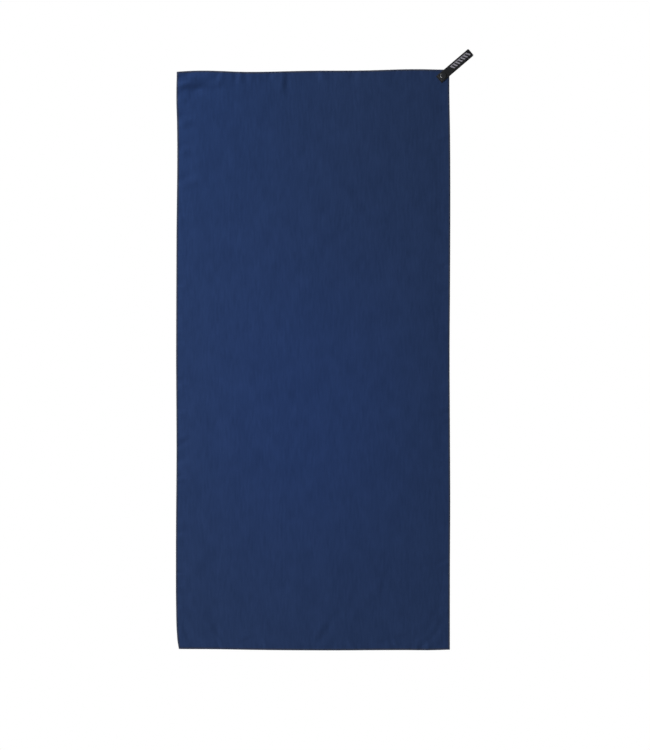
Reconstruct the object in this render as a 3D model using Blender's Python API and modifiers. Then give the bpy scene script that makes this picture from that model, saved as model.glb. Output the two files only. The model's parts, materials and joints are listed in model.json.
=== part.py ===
"""Quick dry travel towel with a snap-closed hanging loop.

The towel is upright in the XZ plane with its front towards -Y.  The origin is the middle of
its top edge, so the cloth hangs down from it.  A webbing loop is sewn on the upper right
corner, runs out along the corner's diagonal, folds back and snaps onto the towel's back.

Cloth, overlock and webbing are one length each on the real towel.  Here they are divided
where they bend: across the towel at a half and at three quarters of its height, across the
corner behind the loop's sewn end, and at the loop's own fold.
"""
import math

import bmesh
import bpy

# ---- Driving dimensions, in metres -------------------------------------------------------
WIDTH = 0.640
HEIGHT = 1.360
CLOTH = 0.0008  # thickness of the cloth
CLOTH_PRESSED = 0.0006  # and of its edges, inside the overlock
GAP = 0.0003  # between neighbouring pieces

SEAM_DEPTH = 0.0040  # how far the overlock reaches in from the edge
SEAM_THICK = 0.0023  # overlock, front to back
SEAM_WRAP = 0.00045  # thread round the raw edge of the cloth

HALF_FOLD_Z = -HEIGHT / 2
QUARTER_FOLD_Z = -HEIGHT * 3 / 4
FOLD_AXIS_Y = SEAM_THICK / 2 + GAP  # a fold turns just outside the overlock

LOOP_ANGLE = math.radians(40.5)  # the strap's rise from the horizontal
LOOP_SHIFT = 0.0015  # its centreline passes this far below the corner
LOOP_REACH = 0.0655  # from the towel's corner to the outside of the loop's fold
WEB_WIDTH = 0.020
WEB_THICK = 0.0012
WEB_BEND = 0.0026  # radius of the webbing's middle where it folds
BEND_STEPS = 6

# distances along the strap are counted from the towel's corner, outwards
SEWN_END = -0.0340
TACK_AT = -0.0298
TAIL_END = -0.0290
SNAP_AT = -0.0195

CREASE_AT = -0.0400  # the corner bends here, just behind the webbing's sewn end
CLOTH_CREASE = 0.00075  # clear space on each side of that crease in the cloth
SEAM_CREASE = 0.0021  # and in the thicker overlock

TACK_LENGTH = 0.016
TACK_WIDTH = 0.0018
TACK_THREAD = 0.0006
TACK_LEG = 0.0009

CAP_RADIUS = 0.0072
CAP_HEIGHT = 0.0017
CAP_RIM = 0.0005
DOME_STEPS = 6
POST_RADIUS = 0.0012
POST_HOLE = POST_RADIUS + GAP
STUD_RADIUS = 0.0050
STUD_FLANGE = 0.0008
BOSS_RADIUS = 0.0022
BOSS_HEIGHT = 0.0022
BOSS_ROOF = 0.0009  # plastic left over the stud's blind bore
SOCKET_RADIUS = 0.0046
SOCKET_FLOOR = 0.0006
ROUND_STEPS = 32

# ---- Depths worked out from them, front to back -------------------------------------------
FRONT_PLY = -(SEAM_THICK / 2 + GAP + WEB_THICK / 2)  # middle of the webbing in front
FRONT_CAP = FRONT_PLY - WEB_THICK / 2 - GAP
STUD_BASE = CLOTH / 2 + GAP
STUD_STEP = STUD_BASE + STUD_FLANGE
STUD_TOP = STUD_STEP + BOSS_HEIGHT
BORE_END = STUD_TOP - BOSS_ROOF
SOCKET_BOTTOM = STUD_TOP + GAP
SOCKET_BACK = SOCKET_BOTTOM + SOCKET_FLOOR
REAR_PLY = SOCKET_BACK + GAP + WEB_THICK / 2
REAR_CAP = REAR_PLY + WEB_THICK / 2 + GAP
LOOP_CENTRE = (FRONT_PLY + REAR_PLY) / 2
BEYOND = 0.02  # how far a cutter runs past what it cuts


# ---- Scene helpers ------------------------------------------------------------------------
def clear_scene():
    for obj in list(bpy.data.objects):
        bpy.data.objects.remove(obj, do_unlink=True)


def make_collection(name):
    collection = bpy.data.collections.new(name)
    bpy.context.scene.collection.children.link(collection)
    return collection


def make_material(name, color, roughness):
    material = bpy.data.materials.new(name)
    material.use_nodes = True
    shader = material.node_tree.nodes["Principled BSDF"]
    shader.inputs["Base Color"].default_value = (*color, 1.0)
    shader.inputs["Roughness"].default_value = roughness
    shader.inputs["Metallic"].default_value = 0.0
    return material


def adopt(obj, name, collection, material=None):
    """Name a new object and keep it in one collection."""
    for holder in list(obj.users_collection):
        holder.objects.unlink(obj)
    collection.objects.link(obj)
    obj.name = name
    obj.data.name = name
    if material:
        obj.data.materials.append(material)
    return obj


def make_pivot(name, location, tilt=0.0, parent=None):
    """An empty on a joint's axis; the pieces that move with the joint are its children."""
    pivot = bpy.data.objects.new(name, None)
    pivot.empty_display_size = 0.02
    pivot.location = location
    pivot.rotation_euler = (0.0, tilt, 0.0)
    pivot.parent = parent
    parts.objects.link(pivot)
    bpy.context.view_layer.update()
    return pivot


def stand_in(frame, obj):
    """Put a piece that was drawn in an empty's own axes where that empty is."""
    obj.matrix_world = frame.matrix_world @ obj.matrix_basis
    return obj


def hang_on(pivot, obj):
    """Parent a piece that is already in place, so that it turns about the pivot."""
    obj.parent = pivot
    obj.matrix_parent_inverse = pivot.matrix_world.inverted()
    return obj


def make_box(name, low, high, collection, material=None):
    bpy.ops.mesh.primitive_cube_add(size=1.0)
    box = adopt(bpy.context.object, name, collection, material)
    for vertex in box.data.vertices:
        vertex.co = [low[i] + (vertex.co[i] + 0.5) * (high[i] - low[i]) for i in range(3)]
    return box


def mark_cutter(cutter, frame=None):
    cutter.hide_render = True
    cutter.display_type = "WIRE"
    return stand_in(frame, cutter) if frame else cutter


def cut(obj, cutter):
    boolean = obj.modifiers.new(cutter.name, "BOOLEAN")
    boolean.operation = "DIFFERENCE"
    boolean.solver = "EXACT"
    boolean.object = cutter
    return obj


def cut_box(obj, label, low, high, frame=None):
    name = f"cut_{obj.name}_{label}"
    return cut(obj, mark_cutter(make_box(name, low, high, cutters), frame))


def make_turned(name, profile, material, closed=False, outwards=-1):
    """Turn a (radius, height) profile; outwards -1 lays height along +Y and +1 along -Y."""
    edges = [(i, i + 1) for i in range(len(profile) - 1)]
    if closed:
        edges.append((len(profile) - 1, 0))
    mesh = bpy.data.meshes.new(name)
    mesh.from_pydata([(radius, 0.0, height) for radius, height in profile], edges, [])
    turned = adopt(bpy.data.objects.new(name, mesh), name, parts, material)
    turned.rotation_euler = (outwards * math.radians(90), 0.0, 0.0)
    screw = turned.modifiers.new("turn", "SCREW")
    screw.axis = "Z"
    screw.steps = ROUND_STEPS
    screw.render_steps = ROUND_STEPS
    screw.use_merge_vertices = True
    screw.merge_threshold = 0.00001
    screw.use_smooth_shade = True
    return turned


# ---- Towel --------------------------------------------------------------------------------
def score(mesh, point, normal):
    """Divide a mesh's faces along a plane without changing its shape."""
    everything = mesh.verts[:] + mesh.edges[:] + mesh.faces[:]
    bmesh.ops.bisect_plane(mesh, geom=everything, plane_co=point, plane_no=normal)


def press_edges(cloth):
    """Thin the cloth towards its raw edges, where the overlock's thread squeezes it."""
    across = WIDTH / 2 - SEAM_DEPTH - GAP
    top = -SEAM_DEPTH - GAP
    bottom = -HEIGHT - top
    mesh = bmesh.new()
    mesh.from_mesh(cloth.data)
    score(mesh, (-across, 0, 0), (1, 0, 0))
    score(mesh, (across, 0, 0), (1, 0, 0))
    score(mesh, (0, 0, top), (0, 0, 1))
    score(mesh, (0, 0, bottom), (0, 0, 1))
    margin = GAP / 10
    for vertex in mesh.verts:
        x, y, z = vertex.co
        if abs(x) > across + margin or not bottom - margin <= z <= top + margin:
            vertex.co.y = math.copysign(CLOTH_PRESSED / 2, y)
    mesh.to_mesh(cloth.data)
    mesh.free()


def make_cloth(name, bottom, top):
    """A panel of cloth with its outer edges inside the overlock."""
    edge = SEAM_WRAP + GAP
    low = (-WIDTH / 2 + edge, -CLOTH / 2, max(bottom, -HEIGHT + edge))
    high = (WIDTH / 2 - edge, CLOTH / 2, min(top, -edge))
    cloth = make_box(name, low, high, parts, cloth_finish)
    press_edges(cloth)
    return cloth


def make_end_seam(name, top):
    """Overlock across one end of the towel, closed at both of its ends."""
    half = WIDTH / 2
    seam = make_box(
        name,
        (-half, -SEAM_THICK / 2, top - SEAM_DEPTH),
        (half, SEAM_THICK / 2, top),
        parts,
        overlock_finish,
    )
    at_top = top == 0
    floor = top - BEYOND if at_top else top - SEAM_DEPTH + SEAM_WRAP
    roof = top - SEAM_WRAP if at_top else top + BEYOND
    slot = CLOTH / 2 + GAP
    low = (-half + SEAM_WRAP, -slot, floor)
    return cut_box(seam, "slot", low, (half - SEAM_WRAP, slot, roof))


def make_side_seam(name, side, bottom, top):
    """Overlock down one side; side is -1 on the left and 1 on the right."""
    outer = side * WIDTH / 2
    inner = side * (WIDTH / 2 - SEAM_DEPTH)
    seam = make_box(
        name,
        (min(outer, inner), -SEAM_THICK / 2, bottom),
        (max(outer, inner), SEAM_THICK / 2, top),
        parts,
        overlock_finish,
    )
    slot = CLOTH / 2 + GAP
    closed = side * (WIDTH / 2 - SEAM_WRAP)
    opened = side * (WIDTH / 2 - BEYOND)
    low = (min(closed, opened), -slot, bottom - BEYOND)
    return cut_box(seam, "slot", low, (max(closed, opened), slot, top + BEYOND))


def drop_corner(obj, clear):
    """Keep what is on the towel's side of the corner's crease."""
    reach = 0.2
    low = (-clear, -BEYOND, -reach)
    return cut_box(obj, "corner", low, (reach, BEYOND, reach), corner_crease)


def keep_corner(obj, clear):
    """Keep what is on the loop's side of the corner's crease."""
    low = (-2 * HEIGHT, -BEYOND, -2 * HEIGHT)
    return cut_box(obj, "towel", low, (clear, BEYOND, 2 * HEIGHT), corner_crease)


def make_towel():
    """Cloth and overlock, from the top down."""
    seam_top = -SEAM_DEPTH - GAP
    seam_bottom = -HEIGHT + SEAM_DEPTH + GAP
    upper = HALF_FOLD_Z + GAP / 2
    lower = (QUARTER_FOLD_Z + GAP / 2, HALF_FOLD_Z - GAP / 2)
    bottom = QUARTER_FOLD_Z - GAP / 2

    drop_corner(make_cloth("cloth_upper", upper, 0), CLOTH_CREASE)
    drop_corner(make_end_seam("overlock_top", 0), SEAM_CREASE)
    drop_corner(make_side_seam("overlock_right_upper", 1, upper, seam_top), SEAM_CREASE)
    make_side_seam("overlock_left_upper", -1, upper, seam_top)

    hang_on(half_fold, make_cloth("cloth_lower", *lower))
    hang_on(half_fold, make_side_seam("overlock_right_lower", 1, *lower))
    hang_on(half_fold, make_side_seam("overlock_left_lower", -1, *lower))

    hang_on(quarter_fold, make_cloth("cloth_bottom", -HEIGHT, bottom))
    hang_on(quarter_fold, make_side_seam("overlock_right_bottom", 1, seam_bottom, bottom))
    hang_on(quarter_fold, make_side_seam("overlock_left_bottom", -1, seam_bottom, bottom))
    hang_on(quarter_fold, make_end_seam("overlock_bottom", -HEIGHT + SEAM_DEPTH))


def make_corner():
    """The piece of towel that bends with the loop."""
    cloth = keep_corner(make_cloth("cloth_corner", HALF_FOLD_Z, 0), CLOTH_CREASE)
    pierce(cloth)
    thread_slots(cloth)
    top = keep_corner(make_end_seam("overlock_top_corner", 0), SEAM_CREASE)
    seam_top = -SEAM_DEPTH - GAP
    side = make_side_seam("overlock_right_corner", 1, HALF_FOLD_Z, seam_top)
    keep_corner(side, SEAM_CREASE)
    for piece in (cloth, top, side):
        hang_on(corner_crease, piece)


# ---- Loop, drawn in the axes of loop_frame: X outwards, Y to the back, Z across -----------
def pierce(obj):
    """The hole for a snap's post."""
    bpy.ops.mesh.primitive_cylinder_add(vertices=ROUND_STEPS, radius=POST_HOLE, depth=2 * BEYOND)
    hole = adopt(bpy.context.object, f"cut_{obj.name}_post", cutters)
    hole.location = (SNAP_AT, 0.0, 0.0)
    hole.rotation_euler = (math.radians(90), 0.0, 0.0)
    bpy.context.view_layer.update()
    return cut(obj, mark_cutter(hole, loop_frame))


def thread_slots(obj):
    """The two needle slots that the bar tack's thread passes through."""
    half = TACK_WIDTH / 2 + GAP
    inner = TACK_LENGTH / 2 - TACK_LEG - GAP
    outer = TACK_LENGTH / 2 + GAP
    for label, low, high in (("slot_a", -outer, -inner), ("slot_b", inner, outer)):
        start = (TACK_AT - half, -BEYOND, low)
        cut_box(obj, label, start, (TACK_AT + half, BEYOND, high), loop_frame)
    return obj


def make_strap(name, line, material):
    """A webbing strap swept across its width from the side view of its middle."""
    mesh = bmesh.new()
    side = [mesh.verts.new((x, y, -WEB_WIDTH / 2)) for x, y in line]
    edges = [mesh.edges.new(pair) for pair in zip(side, side[1:])]
    swept = bmesh.ops.extrude_edge_only(mesh, edges=edges)["geom"]
    far = [item for item in swept if isinstance(item, bmesh.types.BMVert)]
    bmesh.ops.translate(mesh, verts=far, vec=(0.0, 0.0, WEB_WIDTH))
    data = bpy.data.meshes.new(name)
    mesh.to_mesh(data)
    mesh.free()
    strap = adopt(bpy.data.objects.new(name, data), name, parts, material)
    solidify = strap.modifiers.new("thickness", "SOLIDIFY")
    solidify.thickness = WEB_THICK
    solidify.offset = 0.0
    solidify.use_even_offset = True
    return strap


def half_of_fold(ply, end):
    """Side view of one ply from its far end to the middle of the loop's fold."""
    to_centre = 1 if ply < LOOP_CENTRE else -1
    outermost = LOOP_REACH - WEB_THICK / 2
    line = [(end, ply)]
    for step in range(BEND_STEPS + 1):
        angle = math.radians(90) * step / BEND_STEPS
        x = outermost - WEB_BEND * (1 - math.sin(angle))
        line.append((x, ply + to_centre * WEB_BEND * (1 - math.cos(angle))))
    line.append((outermost, LOOP_CENTRE - to_centre * GAP / 2))
    return line


def cap_profile(post_length):
    """A snap cap: dome, rim and the post behind it."""
    dome = []
    for step in range(DOME_STEPS + 1):
        angle = math.radians(90) * step / DOME_STEPS
        rise = (CAP_HEIGHT - CAP_RIM) * math.cos(angle)
        dome.append((CAP_RADIUS * math.sin(angle), CAP_RIM + rise))
    post = [(POST_RADIUS, 0.0), (POST_RADIUS, -post_length), (0.0, -post_length)]
    return dome + [(CAP_RADIUS, 0.0)] + post


def make_bar_tack():
    """One ring of thread through the webbing and the cloth."""
    half_length = TACK_LENGTH / 2
    half_width = TACK_WIDTH / 2
    tack = make_box(
        "bar_tack",
        (TACK_AT - half_width, FRONT_CAP - TACK_THREAD, -half_length),
        (TACK_AT + half_width, STUD_BASE + TACK_THREAD, half_length),
        parts,
        thread_finish,
    )
    inside = half_length - TACK_LEG
    low = (TACK_AT - BEYOND, FRONT_CAP, -inside)
    cut_box(tack, "inside", low, (TACK_AT + BEYOND, STUD_BASE, inside), loop_frame)
    return stand_in(loop_frame, tack)


def make_loop():
    """Front ply, sewn and snapped to the corner, and rear ply, which comes off the snap."""
    front = make_strap("webbing_front_ply", half_of_fold(FRONT_PLY, SEWN_END), webbing_finish)
    rear = make_strap("webbing_rear_ply", half_of_fold(REAR_PLY, TAIL_END), webbing_finish)
    for strap in (front, rear):
        pierce(stand_in(loop_frame, strap))
    thread_slots(front)

    front_cap = make_turned(
        "snap_front_cap", cap_profile(BORE_END - GAP - FRONT_CAP), snap_finish, outwards=1
    )
    front_cap.location = (SNAP_AT, FRONT_CAP, 0.0)
    rear_cap = make_turned("snap_rear_cap", cap_profile(REAR_CAP - SOCKET_BOTTOM), snap_finish)
    rear_cap.location = (SNAP_AT, REAR_CAP, 0.0)
    stud = make_turned(
        "snap_stud",
        [
            (0.0, STUD_TOP),
            (BOSS_RADIUS, STUD_TOP),
            (BOSS_RADIUS, STUD_STEP),
            (STUD_RADIUS, STUD_STEP),
            (STUD_RADIUS, STUD_BASE),
            (POST_HOLE, STUD_BASE),
            (POST_HOLE, BORE_END),
            (0.0, BORE_END),
        ],
        snap_finish,
    )
    stud.location = (SNAP_AT, 0.0, 0.0)
    mouth = BOSS_RADIUS + GAP
    socket = make_turned(
        "snap_socket",
        [
            (POST_HOLE, SOCKET_BACK),
            (SOCKET_RADIUS, SOCKET_BACK),
            (SOCKET_RADIUS, STUD_STEP + GAP),
            (mouth, STUD_STEP + GAP),
            (mouth, SOCKET_BOTTOM),
            (POST_HOLE, SOCKET_BOTTOM),
        ],
        snap_finish,
        closed=True,
    )
    socket.location = (SNAP_AT, 0.0, 0.0)

    bpy.context.view_layer.update()
    for piece in (front_cap, rear_cap, stud, socket):
        stand_in(loop_frame, piece)
    for piece in (front, front_cap, stud, make_bar_tack()):
        hang_on(corner_crease, piece)
    for piece in (rear, rear_cap, socket):
        hang_on(loop_fold, piece)


# ---- Build --------------------------------------------------------------------------------
clear_scene()
parts = make_collection("quick_dry_towel")
cutters = make_collection("cutters")

cloth_finish = make_material("navy microfibre", (0.018, 0.038, 0.102), 0.9)
overlock_finish = make_material("overlock thread", (0.008, 0.013, 0.032), 0.85)
webbing_finish = make_material("black webbing", (0.015, 0.015, 0.017), 0.8)
thread_finish = make_material("bar tack thread", (0.020, 0.020, 0.022), 0.7)
snap_finish = make_material("black snap plastic", (0.012, 0.012, 0.013), 0.4)

half_fold = make_pivot("half_fold", (0.0, FOLD_AXIS_Y, HALF_FOLD_Z))
drop = QUARTER_FOLD_Z - HALF_FOLD_Z
quarter_fold = make_pivot("quarter_fold", (0.0, -2 * FOLD_AXIS_Y, drop), parent=half_fold)

# the strap's centreline crosses the corner's diagonal LOOP_SHIFT below the corner itself
corner = (
    WIDTH / 2 + LOOP_SHIFT * math.sin(LOOP_ANGLE),
    -LOOP_SHIFT * math.cos(LOOP_ANGLE),
)
crease_place = (
    corner[0] + CREASE_AT * math.cos(LOOP_ANGLE),
    0.0,
    corner[1] + CREASE_AT * math.sin(LOOP_ANGLE),
)
corner_crease = make_pivot("corner_crease", crease_place, tilt=-LOOP_ANGLE)
loop_frame = make_pivot("loop_frame", (-CREASE_AT, 0.0, 0.0), parent=corner_crease)
fold_place = (LOOP_REACH + GAP, LOOP_CENTRE, 0.0)
loop_fold = make_pivot("loop_fold", fold_place, parent=loop_frame)

make_towel()
make_corner()
make_loop()
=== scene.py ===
"""The look of a quick dry travel towel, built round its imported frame.

The frame's cloth, overlock and webbing are plain solids.  Here they become one softly wrinkled
sheet with thread round its edges, a woven strap with its bar tack, and a plastic snap.  Places
come from the frame, and lengths are in metres.
"""
import json
import math

import bmesh
import bpy
import numpy as np
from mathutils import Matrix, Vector


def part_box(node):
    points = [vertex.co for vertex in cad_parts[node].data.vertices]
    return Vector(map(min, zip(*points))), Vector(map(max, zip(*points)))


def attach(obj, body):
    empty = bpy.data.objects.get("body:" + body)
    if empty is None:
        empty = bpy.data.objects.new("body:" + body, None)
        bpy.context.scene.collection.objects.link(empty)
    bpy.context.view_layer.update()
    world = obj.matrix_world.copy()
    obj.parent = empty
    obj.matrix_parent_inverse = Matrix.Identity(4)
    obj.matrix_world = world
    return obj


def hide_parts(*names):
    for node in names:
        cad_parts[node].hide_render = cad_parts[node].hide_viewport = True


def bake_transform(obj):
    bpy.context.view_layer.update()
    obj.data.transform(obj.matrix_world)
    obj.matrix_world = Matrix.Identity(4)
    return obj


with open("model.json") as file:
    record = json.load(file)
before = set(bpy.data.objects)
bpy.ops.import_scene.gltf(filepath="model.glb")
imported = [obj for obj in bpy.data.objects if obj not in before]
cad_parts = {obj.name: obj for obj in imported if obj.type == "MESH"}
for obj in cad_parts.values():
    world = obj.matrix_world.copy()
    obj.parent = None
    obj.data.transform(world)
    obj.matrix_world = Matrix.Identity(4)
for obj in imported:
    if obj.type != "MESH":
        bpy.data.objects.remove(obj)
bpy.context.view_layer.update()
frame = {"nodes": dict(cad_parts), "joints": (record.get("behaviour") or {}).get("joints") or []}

# ---- The towel's sizes, read from the frame ----------------------------------
seam_low, seam_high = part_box("overlock_bottom")
LEFT, RIGHT = seam_low.x, seam_high.x
TOP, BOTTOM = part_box("overlock_top")[1].z, seam_low.z
WIDTH, HEIGHT = RIGHT - LEFT, TOP - BOTTOM
SEAM_DEPTH = seam_high.z - seam_low.z
SEAM_THICK = seam_high.y - seam_low.y
cloth_low, cloth_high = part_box("cloth_lower")
CLOTH = cloth_high.y - cloth_low.y
CLOTH_INSET = cloth_low.x - LEFT  # the raw edge lies this far inside the overlock

hinges = {joint["name"]: joint for joint in frame["joints"]}
HALF_FOLD = hinges["fold_in_half"]["pos_m"][2]
QUARTER_FOLD = hinges["fold_in_quarter"]["pos_m"][2]

# ---- The loop's own axes: along the strap, to the back, and across it --------
swing_axis = np.array(hinges["loop_swing"]["axis"])
ALONG = np.array((-swing_axis[2], 0.0, swing_axis[0]))
BACK = np.array((0.0, 1.0, 0.0))
ACROSS = -swing_axis
LOOP_AXES = np.array((ALONG, BACK, ACROSS))
crease_place = np.array(hinges["loop_swing"]["pos_m"])
CREASE_AT = -float((np.array((RIGHT, 0.0, TOP)) - crease_place) @ ALONG)
LOOP_ORIGIN = crease_place - CREASE_AT * ALONG  # on the strap's middle line, at the corner


def loop_place(along, depth, across):
    """Points given in the loop's axes, in the frame's."""
    local = np.stack(np.broadcast_arrays(along, depth, across), -1)
    return LOOP_ORIGIN + local @ LOOP_AXES


def loop_box(node):
    """Lowest and highest corner of a CAD node in the loop's axes."""
    points = np.array([vertex.co for vertex in frame["nodes"][node].data.vertices])
    local = (points - LOOP_ORIGIN) @ LOOP_AXES.T
    return local.min(0), local.max(0)


ply_low, ply_high = loop_box("webbing_front_ply")
SEWN_END, LOOP_TIP = ply_low[0], ply_high[0]
WEB_HALF = ply_high[2]
rear_low, rear_high = loop_box("webbing_rear_ply")
TAIL_END = rear_low[0]
cap_low, cap_high = loop_box("snap_front_cap")
SNAP_AT = (cap_low[0] + cap_high[0]) / 2
CAP_RADIUS = cap_high[2]
stud_low, stud_high = loop_box("snap_stud")
socket_low, socket_high = loop_box("snap_socket")
tack_low, tack_high = loop_box("bar_tack")
FOLD_DEPTH = hinges["loop_open"]["pos_m"][1]

# ---- Driving sizes of the look -----------------------------------------------
WEB_THICK = 0.0012
WEB_FRONT = ply_low[1] + WEB_THICK / 2  # middle of the front ply
WEB_REAR = rear_high[1] - WEB_THICK / 2  # and of the rear ply

# How far the cloth's edges stray from a true rectangle, as (place on the edge, shift)
TOP_EDGE = ((-0.320, -0.0046), (-0.288, -0.0026), (-0.150, -0.0051), (0.0, -0.0022),
            (0.110, -0.0018), (0.250, 0.0012), (0.290, 0.0004), (0.320, 0.0))
BOTTOM_EDGE = ((-0.320, 0.0036), (-0.250, 0.0033), (-0.120, 0.0015), (0.030, 0.0005),
               (0.220, 0.0012), (0.270, 0.0010), (0.320, 0.0024))
LEFT_EDGE = ((0.0, 0.0016), (-0.065, 0.0008), (-0.120, 0.0022), (-0.400, 0.0010),
             (-0.680, 0.0002), (-0.890, 0.0011), (-1.150, -0.0003), (-1.260, 0.0001),
             (-1.320, 0.0018), (-1.345, 0.0040), (-1.360, 0.0068))
RIGHT_EDGE = ((0.0, 0.0), (-0.050, 0.0), (-0.140, 0.0014), (-0.500, 0.0015),
              (-0.650, 0.0005), (-0.850, 0.0013), (-1.010, 0.0020), (-1.170, 0.0012),
              (-1.360, 0.0010))


def smoothstep(value, low, high):
    t = np.clip((value - low) / (high - low), 0.0, 1.0)
    return t * t * (3 - 2 * t)


def curve_through(points, at):
    """A smooth curve through a few (place, value) points."""
    place, value = np.array(sorted(points)).T
    slope = np.gradient(value, place)
    index = np.clip(np.searchsorted(place, at) - 1, 0, len(place) - 2)
    span = place[index + 1] - place[index]
    t = np.clip((at - place[index]) / span, 0.0, 1.0)
    from_start = (1 + 2 * t) * value[index] + t * span * slope[index]
    from_end = (3 - 2 * t) * value[index + 1] + (t - 1) * span * slope[index + 1]
    return (1 - t) ** 2 * from_start + t * t * from_end


# ---- The sheet: where each place on the flat cloth lies ----------------------
KNOTS = 512  # random values along a line of noise, before it repeats


def value_noise(x, seed):
    """Smooth noise from -1 to 1 along a line, one knot per unit."""
    knots = np.random.default_rng(seed).uniform(-1, 1, KNOTS)
    cell = np.floor(x).astype(int)
    t = x - cell
    t = t * t * (3 - 2 * t)
    return knots[cell % KNOTS] * (1 - t) + knots[(cell + 1) % KNOTS] * t


def broad_waves(x, z):
    """Slow swells of cloth that has been smoothed out by hand."""
    swell = 0.0011 * np.sin(9.0 * x + 4.1 * z + 0.6) * np.cos(3.3 * z - 5.0 * x)
    return swell + 0.0006 * np.sin(17.0 * x - 7.0 * z + 2.0)


SIDE_RIPPLE = 0.0062  # half a ripple's length down the sides
END_RIPPLE = 0.0066  # and across the ends


def ripple_row(place, pace, wander, seed):
    """Uneven ripples along an edge, from -1 to 1; place counts half ripples."""
    return np.sin(math.pi * (pace * place + wander * value_noise(place / 2, seed)))


def edge_ripples(x, z):
    """Fine ripples where the overlock's thread has drawn the cloth together."""
    down = (TOP - z) / SIDE_RIPPLE
    along = (x - LEFT) / END_RIPPLE
    side_height = 0.00020 + 0.00018 * value_noise(down / 9, 15)
    end_height = 0.00018 + 0.00016 * value_noise(along / 9, 16)
    edges = (
        (x - LEFT, 0.009, side_height * ripple_row(down, 1.0, 0.6, 11)),
        (RIGHT - x, 0.008, side_height * ripple_row(down, 0.9, 0.6, 12)),
        (TOP - z, 0.009, end_height * ripple_row(along, 1.0, 0.7, 13)),
        (z - BOTTOM, 0.009, end_height * ripple_row(along, 1.0, 0.7, 14)),
    )
    return sum(ripples * np.exp(-inward / reach) for inward, reach, ripples in edges)


def edge_curl(x, z):
    """The left and top edges bend a little back, the right and bottom edges forward."""
    edges = (
        (x - LEFT, 0.010, 0.0011),
        (RIGHT - x, 0.011, -0.0011),
        (TOP - z, 0.016, 0.0018),
        (z - BOTTOM, 0.011, -0.0009),
    )
    return sum(back * np.exp(-inward / reach) for inward, reach, back in edges)


def ridge(x, z, middle, half_length, half_width, turn, height):
    """One soft wrinkle: a ridge with a dent along its lower side."""
    cos, sin = math.cos(turn), math.sin(turn)
    along = (x - middle[0]) * cos + (z - middle[1]) * sin
    across = ((z - middle[1]) * cos - (x - middle[0]) * sin) / half_width
    return -height * across * np.exp(0.5 - across**2 / 2 - (along / half_length) ** 2)


END_MARGIN = 0.040  # no puckers this close to an edge's end


def scatter_puckers():
    """Short wrinkles running in from the overlock at uneven distances, as ridge() values."""
    chance = np.random.default_rng(31)
    puckers = []
    # each edge's first pucker, its length, the gap between puckers, where one lies and its turn
    sides = (
        (0.320, HEIGHT, 0.058, lambda place, inward: (LEFT + inward, TOP - place), 0.0),
        (0.100, HEIGHT, 0.074, lambda place, inward: (RIGHT - inward, TOP - place), 0.0),
        (0.100, WIDTH, 0.070, lambda place, inward: (LEFT + place, TOP - inward), math.pi / 2),
        (0.100, WIDTH, 0.062, lambda place, inward: (LEFT + place, BOTTOM + inward), math.pi / 2),
    )
    for place, length, gap, spot, turn in sides:
        while place < length - END_MARGIN:
            inward = chance.uniform(0.006, 0.014)
            height = chance.uniform(0.0003, 0.0015) * chance.choice((-1, -1, -1, 1))
            lean = turn + chance.uniform(-0.6, 0.6)
            reach = chance.uniform(0.008, 0.020)
            width = chance.uniform(0.0045, 0.0085)
            puckers.append((spot(place, inward), reach, width, lean, height))
            place += gap * chance.uniform(0.3, 1.7)
    return puckers


# The few wrinkles that stand out, the first of them across the top left corner, each with its
# middle, half length, half width, turn and height as ridge() takes them
WRINKLES = (
    ((-0.283, -0.038), 0.024, 0.0095, -0.05, 0.0046),
    ((-0.232, -0.037), 0.024, 0.0075, 0.00, 0.0014),
    ((-0.296, -0.018), 0.026, 0.0085, 0.25, -0.0038),
    ((-0.304, -0.115), 0.018, 0.0085, 0.10, -0.0024),
    ((-0.308, -0.183), 0.014, 0.0080, -0.10, -0.0020),
    ((-0.301, -0.260), 0.021, 0.0090, 0.20, -0.0024),
    ((-0.176, -0.014), 0.016, 0.0060, 1.50, -0.0013),
    ((-0.066, -0.026), 0.024, 0.0070, 1.50, 0.0015),
    ((-0.232, -1.315), 0.018, 0.0060, 2.05, 0.0010),
    ((-0.160, -1.335), 0.020, 0.0050, 0.50, 0.0006),
    ((-0.300, -1.330), 0.020, 0.0060, 2.00, 0.0010),
    ((0.020, -1.318), 0.028, 0.0070, 1.00, 0.0010),
    ((0.158, -1.215), 0.030, 0.0060, 1.40, 0.0005),
) + tuple(scatter_puckers())


def wrinkles(x, z):
    return sum(ridge(x, z, *wrinkle) for wrinkle in WRINKLES)


def calm(x, z):
    """How much of the relief is kept: none at the loop, a little at the folds, else all."""
    from_corner = np.hypot(RIGHT - x, TOP - z)
    from_fold = np.minimum(np.abs(z - HALF_FOLD), np.abs(z - QUARTER_FOLD))
    at_fold = 0.2
    kept = at_fold + (1 - at_fold) * smoothstep(from_fold, 0.015, 0.060)
    return smoothstep(from_corner, 0.030, 0.090) * kept


def pinch(x, z):
    """The snap draws the cloth forward, up to the webbing."""
    along = (x - LOOP_ORIGIN[0]) * ALONG[0] + (z - LOOP_ORIGIN[2]) * ALONG[2]
    across = (x - LOOP_ORIGIN[0]) * ACROSS[0] + (z - LOOP_ORIGIN[2]) * ACROSS[2]
    reach, depth = 0.0085, 0.0008
    return -depth * np.exp(-((along - SNAP_AT) ** 2 + across**2) / reach**2)


def spline_weights(t):
    """Weights of the four knots round a place, for a cubic spline."""
    return (
        (1 - t) ** 3 / 6,
        (3 * t**3 - 6 * t**2 + 4) / 6,
        (-3 * t**3 + 3 * t**2 + 3 * t + 1) / 6,
        t**3 / 6,
    )


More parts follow.
